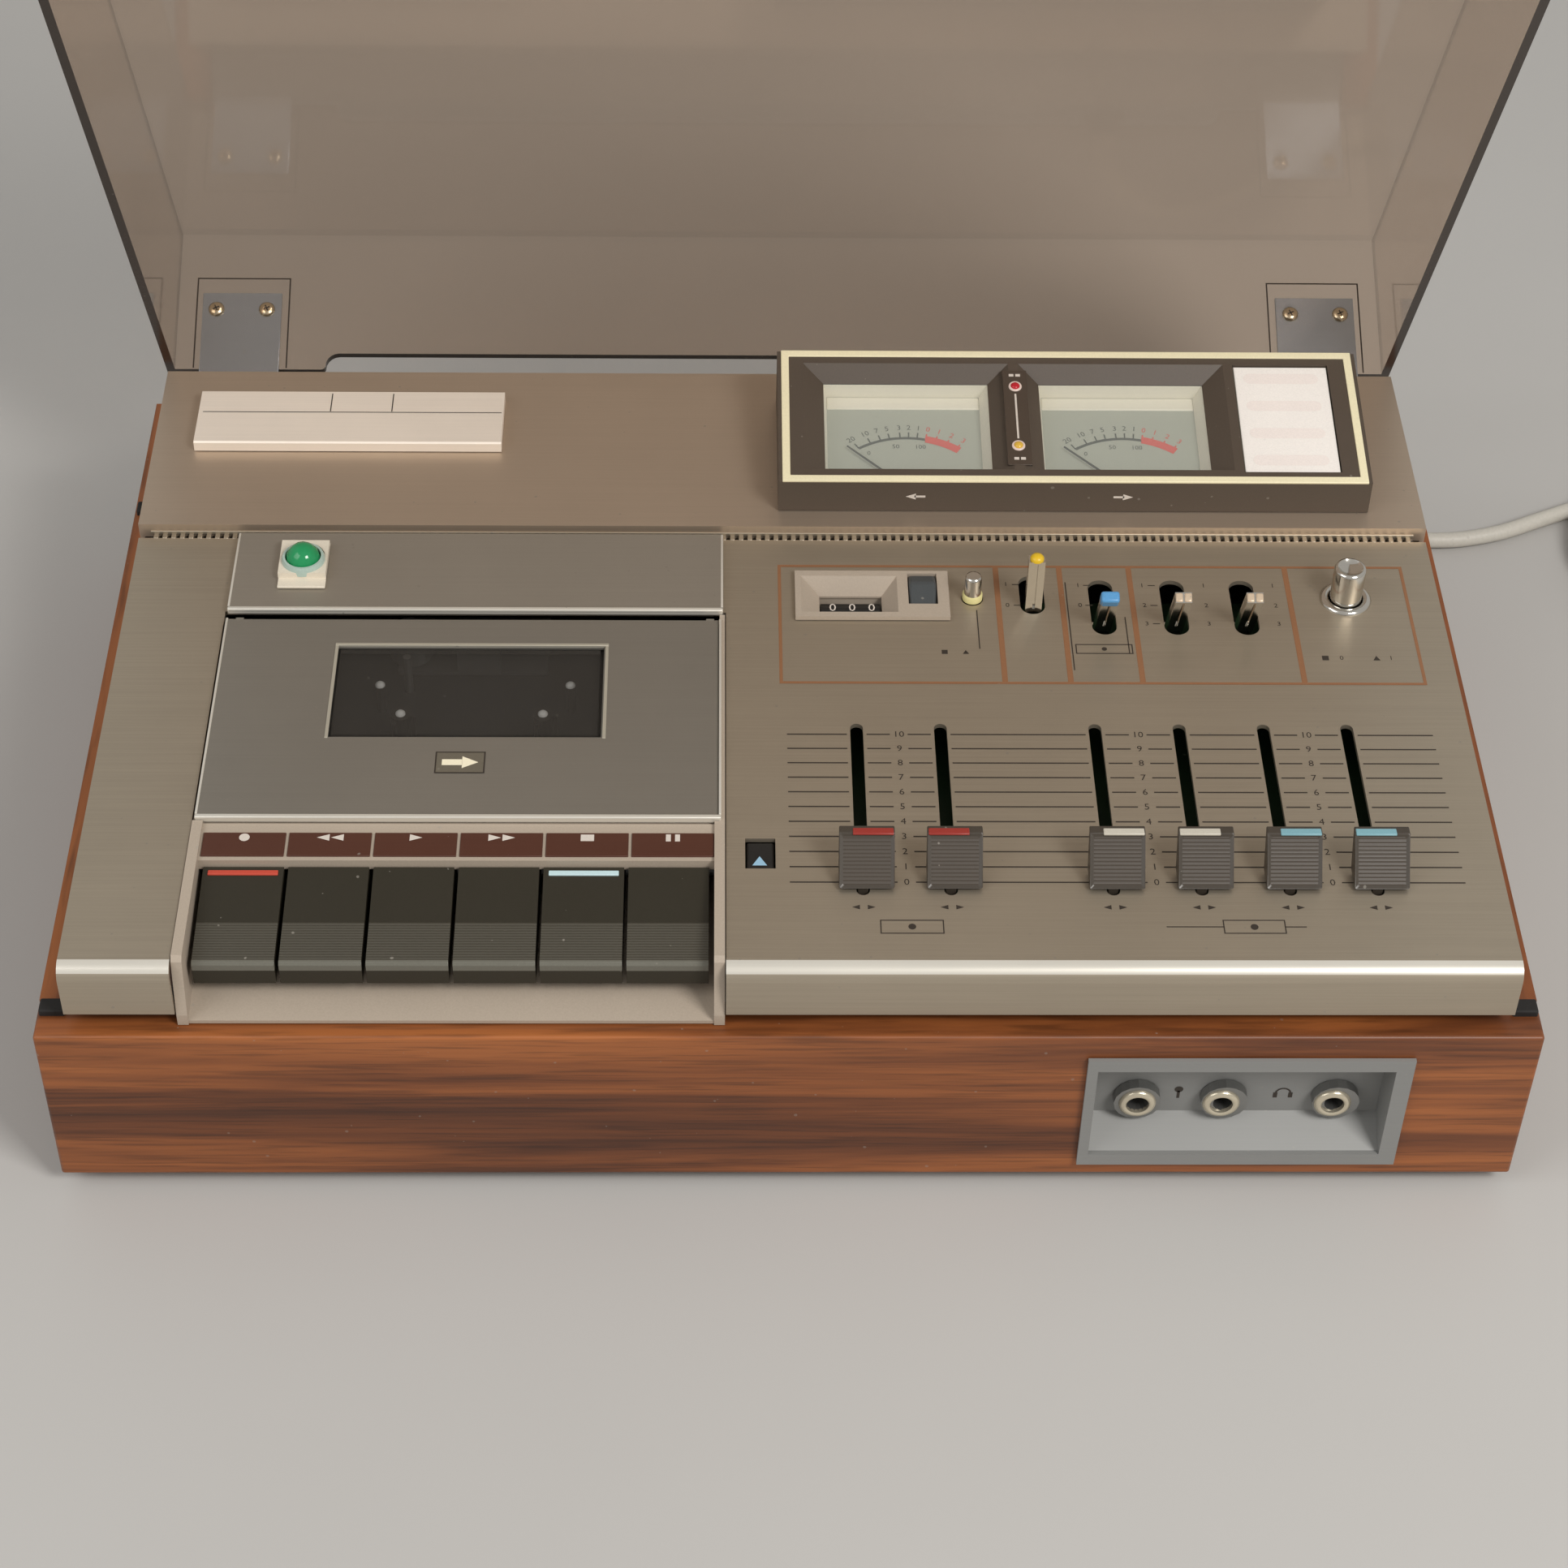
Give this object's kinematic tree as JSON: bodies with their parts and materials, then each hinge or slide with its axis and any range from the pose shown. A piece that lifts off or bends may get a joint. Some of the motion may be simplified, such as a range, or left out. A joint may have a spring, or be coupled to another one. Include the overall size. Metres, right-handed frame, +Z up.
{
  "type": "top-loading cassette deck",
  "caption": "Table-top top-loading cassette deck in a walnut cabinet, with a hinged smoked dust cover, piano keys, level sliders, lever switches and two level meters.",
  "frame": {"origin": "below the middle of the deck with its cover open, on the surface that the feet stand on, the mains cord left out", "axes": "+X to the right along the front, +Y from the front to the hinges, +Z up"},
  "size_m": [0.6242, 0.3352, 0.3459],
  "materials": {
    "walnut": "walnut veneer under satin lacquer",
    "foot_rubber": "matte",
    "champagne_panel": "brushed and anodised, champagne",
    "rear_panel": "brushed and anodised, champagne",
    "badge": "satin, bare",
    "door_grey": "satin warm grey",
    "beige_plastic": "satin",
    "steel": "zinc plated",
    "key_plastic": "ribbed, satin",
    "black_plastic": "satin",
    "housing_plastic": "satin dark brown",
    "dial_card": "printed card",
    "chrome": "polished",
    "jack_silver": "satin silver",
    "jewel": "clear green",
    "knob_plastic": "satin",
    "smoked_acrylic": "clear, smoked",
    "clear_pane": "clear",
    "cord_plastic": "soft, off-white",
    "needle_paint": "matte black",
    "board": "laminate"
  },
  "bodies": {
    "chassis": {"wood_front": "walnut", "wood_side_left": "walnut", "wood_side_right": "walnut", "foot_front_left": "foot_rubber", "foot_front_right": "foot_rubber", "foot_rear_left": "foot_rubber", "foot_rear_right": "foot_rubber", "chassis_tray": "steel", "front_top_panel": "champagne_panel", "rear_top_panel": "rear_panel", "badge_plate": "badge", "meter_housing": "housing_plastic", "meter_panel": "dial_card", "module_frame": "beige_plastic", "key_shaft": "steel", "cassette_hood": "door_grey", "jewel_lamp": "jewel", "transport_plate": "steel", "motor": "steel", "counter_bezel": "beige_plastic", "control_board": "board", "jack_plate": "jack_silver", "jack_board": "steel", "cord_gland": "black_plastic", "cord_run": "cord_plastic", "cord_coil": "cord_plastic", "cord_plug": "cord_plastic"},
    "cover": {"dust_cover": "smoked_acrylic", "hinge_leaf_left": "chrome", "hinge_leaf_right": "chrome"},
    "door": {"cassette_door": "door_grey", "door_window": "clear_pane", "cassette_carrier": "steel"},
    "key_record": {"key_record": "key_plastic"},
    "key_rewind": {"key_rewind": "key_plastic"},
    "key_play": {"key_play": "key_plastic"},
    "key_fast_forward": {"key_fast_forward": "key_plastic"},
    "key_stop": {"key_stop": "key_plastic"},
    "key_pause": {"key_pause": "key_plastic"},
    "head_slide": {"head_slide": "steel"},
    "spindle_left": {"spindle_left": "black_plastic"},
    "spindle_right": {"spindle_right": "black_plastic"},
    "capstan_flywheel": {"capstan_flywheel": "steel"},
    "counter_drum": {"counter_drum": "black_plastic"},
    "counter_reset_button": {"counter_reset_button": "black_plastic"},
    "memory_button": {"memory_button": "chrome"},
    "power_button": {"power_button": "chrome"},
    "open_button": {"open_button": "black_plastic"},
    "lever_1": {"lever_1": "chrome"},
    "lever_2": {"lever_2": "chrome"},
    "lever_3": {"lever_3": "chrome"},
    "lever_4": {"lever_4": "chrome"},
    "slider_1": {"slider_1": "knob_plastic"},
    "slider_2": {"slider_2": "knob_plastic"},
    "slider_3": {"slider_3": "knob_plastic"},
    "slider_4": {"slider_4": "knob_plastic"},
    "slider_5": {"slider_5": "knob_plastic"},
    "slider_6": {"slider_6": "knob_plastic"},
    "meter_needle_left": {"meter_needle_left": "needle_paint"},
    "meter_needle_right": {"meter_needle_right": "needle_paint"}
  },
  "joints": [
    {"name": "cover_hinge", "type": "hinge", "parent": "chassis", "child": "cover", "pos_m": [0, 0.12031, 0.063], "axis": [-1, 0, 0], "range_deg": [-64, 0]},
    {"name": "door_hinge", "type": "hinge", "parent": "chassis", "child": "door", "pos_m": [-0.0945, -0.02029, 0.0859], "axis": [-1, 0, 0], "range_deg": [0, 45]},
    {"name": "key_record_hinge", "type": "hinge", "parent": "chassis", "child": "key_record", "pos_m": [-0.15443, -0.11109, 0.076], "axis": [1, 0, 0], "range_deg": [0, 6.5], "stiffness_Nm_per_rad": 1, "springref_deg": -11.46},
    {"name": "key_rewind_hinge", "type": "hinge", "parent": "chassis", "child": "key_rewind", "pos_m": [-0.13045, -0.11109, 0.076], "axis": [1, 0, 0], "range_deg": [0, 6.5], "stiffness_Nm_per_rad": 1, "springref_deg": -11.46},
    {"name": "key_play_hinge", "type": "hinge", "parent": "chassis", "child": "key_play", "pos_m": [-0.10648, -0.11109, 0.076], "axis": [1, 0, 0], "range_deg": [0, 6.5], "stiffness_Nm_per_rad": 1, "springref_deg": -11.46},
    {"name": "key_fast_forward_hinge", "type": "hinge", "parent": "chassis", "child": "key_fast_forward", "pos_m": [-0.08252, -0.11109, 0.076], "axis": [1, 0, 0], "range_deg": [0, 6.5], "stiffness_Nm_per_rad": 1, "springref_deg": -11.46},
    {"name": "key_stop_hinge", "type": "hinge", "parent": "chassis", "child": "key_stop", "pos_m": [-0.05854, -0.11109, 0.076], "axis": [1, 0, 0], "range_deg": [0, 6.5], "stiffness_Nm_per_rad": 1, "springref_deg": -11.46},
    {"name": "key_pause_hinge", "type": "hinge", "parent": "chassis", "child": "key_pause", "pos_m": [-0.03458, -0.11109, 0.076], "axis": [1, 0, 0], "range_deg": [0, 6.5], "stiffness_Nm_per_rad": 1, "springref_deg": -11.46},
    {"name": "head_travel", "type": "slide", "parent": "chassis", "child": "head_slide", "axis": [0, -1, 0], "range_m": [0, 0.004]},
    {"name": "spindle_left_spin", "type": "hinge", "parent": "chassis", "child": "spindle_left", "pos_m": [-0.11555, -0.05019, 0.07], "axis": [0, 0, 1], "continuous": true},
    {"name": "spindle_right_spin", "type": "hinge", "parent": "chassis", "child": "spindle_right", "pos_m": [-0.07305, -0.05019, 0.07], "axis": [0, 0, 1], "continuous": true},
    {"name": "capstan_spin", "type": "hinge", "parent": "chassis", "child": "capstan_flywheel", "pos_m": [-0.1153, -0.02549, 0.05], "axis": [0, 0, 1], "continuous": true},
    {"name": "counter_drum_spin", "type": "hinge", "parent": "chassis", "child": "counter_drum", "pos_m": [0.02, -0.00689, 0.0796], "axis": [1, 0, 0], "continuous": true},
    {"name": "counter_reset_button_travel", "type": "slide", "parent": "chassis", "child": "counter_reset_button", "axis": [0, 0, -1], "range_m": [0, 0.0025], "stiffness_N_per_m": 200, "springref_m": -0.003},
    {"name": "memory_button_travel", "type": "slide", "parent": "chassis", "child": "memory_button", "axis": [0, 0, -1], "range_m": [0, 0.003], "stiffness_N_per_m": 300, "springref_m": -0.003},
    {"name": "power_button_travel", "type": "slide", "parent": "chassis", "child": "power_button", "axis": [0, 0, -1], "range_m": [0, 0.003], "stiffness_N_per_m": 500, "springref_m": -0.003},
    {"name": "open_button_travel", "type": "slide", "parent": "chassis", "child": "open_button", "axis": [0, 0, -1], "range_m": [0, 0.0025], "stiffness_N_per_m": 300, "springref_m": -0.003},
    {"name": "lever_1_tilt", "type": "hinge", "parent": "chassis", "child": "lever_1", "pos_m": [0.0756, -0.01159, 0.0765], "axis": [-1, 0, 0], "range_deg": [0, 38]},
    {"name": "lever_2_tilt", "type": "hinge", "parent": "chassis", "child": "lever_2", "pos_m": [0.0969, -0.01159, 0.0765], "axis": [-1, 0, 0], "range_deg": [0, 52]},
    {"name": "lever_3_tilt", "type": "hinge", "parent": "chassis", "child": "lever_3", "pos_m": [0.119, -0.01159, 0.0765], "axis": [-1, 0, 0], "range_deg": [0, 52]},
    {"name": "lever_4_tilt", "type": "hinge", "parent": "chassis", "child": "lever_4", "pos_m": [0.1405, -0.01159, 0.0765], "axis": [-1, 0, 0], "range_deg": [0, 52]},
    {"name": "slider_1_travel", "type": "slide", "parent": "chassis", "child": "slider_1", "axis": [0, 1, 0], "range_m": [0, 0.06]},
    {"name": "slider_2_travel", "type": "slide", "parent": "chassis", "child": "slider_2", "axis": [0, 1, 0], "range_m": [0, 0.06]},
    {"name": "slider_3_travel", "type": "slide", "parent": "chassis", "child": "slider_3", "axis": [0, 1, 0], "range_m": [0, 0.06]},
    {"name": "slider_4_travel", "type": "slide", "parent": "chassis", "child": "slider_4", "axis": [0, 1, 0], "range_m": [0, 0.06]},
    {"name": "slider_5_travel", "type": "slide", "parent": "chassis", "child": "slider_5", "axis": [0, 1, 0], "range_m": [0, 0.06]},
    {"name": "slider_6_travel", "type": "slide", "parent": "chassis", "child": "slider_6", "axis": [0, 1, 0], "range_m": [0, 0.06]},
    {"name": "meter_needle_left_swing", "type": "hinge", "parent": "chassis", "child": "meter_needle_left", "pos_m": [0.0391, 0.03509, 0.0956], "axis": [0, 0.1616, -0.9869], "range_deg": [0, 94], "stiffness_Nm_per_rad": 0.0002, "springref_deg": -17.19},
    {"name": "meter_needle_right_swing", "type": "hinge", "parent": "chassis", "child": "meter_needle_right", "pos_m": [0.1081, 0.03509, 0.0956], "axis": [0, 0.1616, -0.9869], "range_deg": [0, 94], "stiffness_Nm_per_rad": 0.0002, "springref_deg": -17.19}
  ],
  "couplings": [
    {"joint": "head_travel", "follows": "key_play_hinge", "m_per_rad": 0.0352},
    {"joint": "counter_drum_spin", "follows": "spindle_right_spin", "ratio": 0.05}
  ]
}
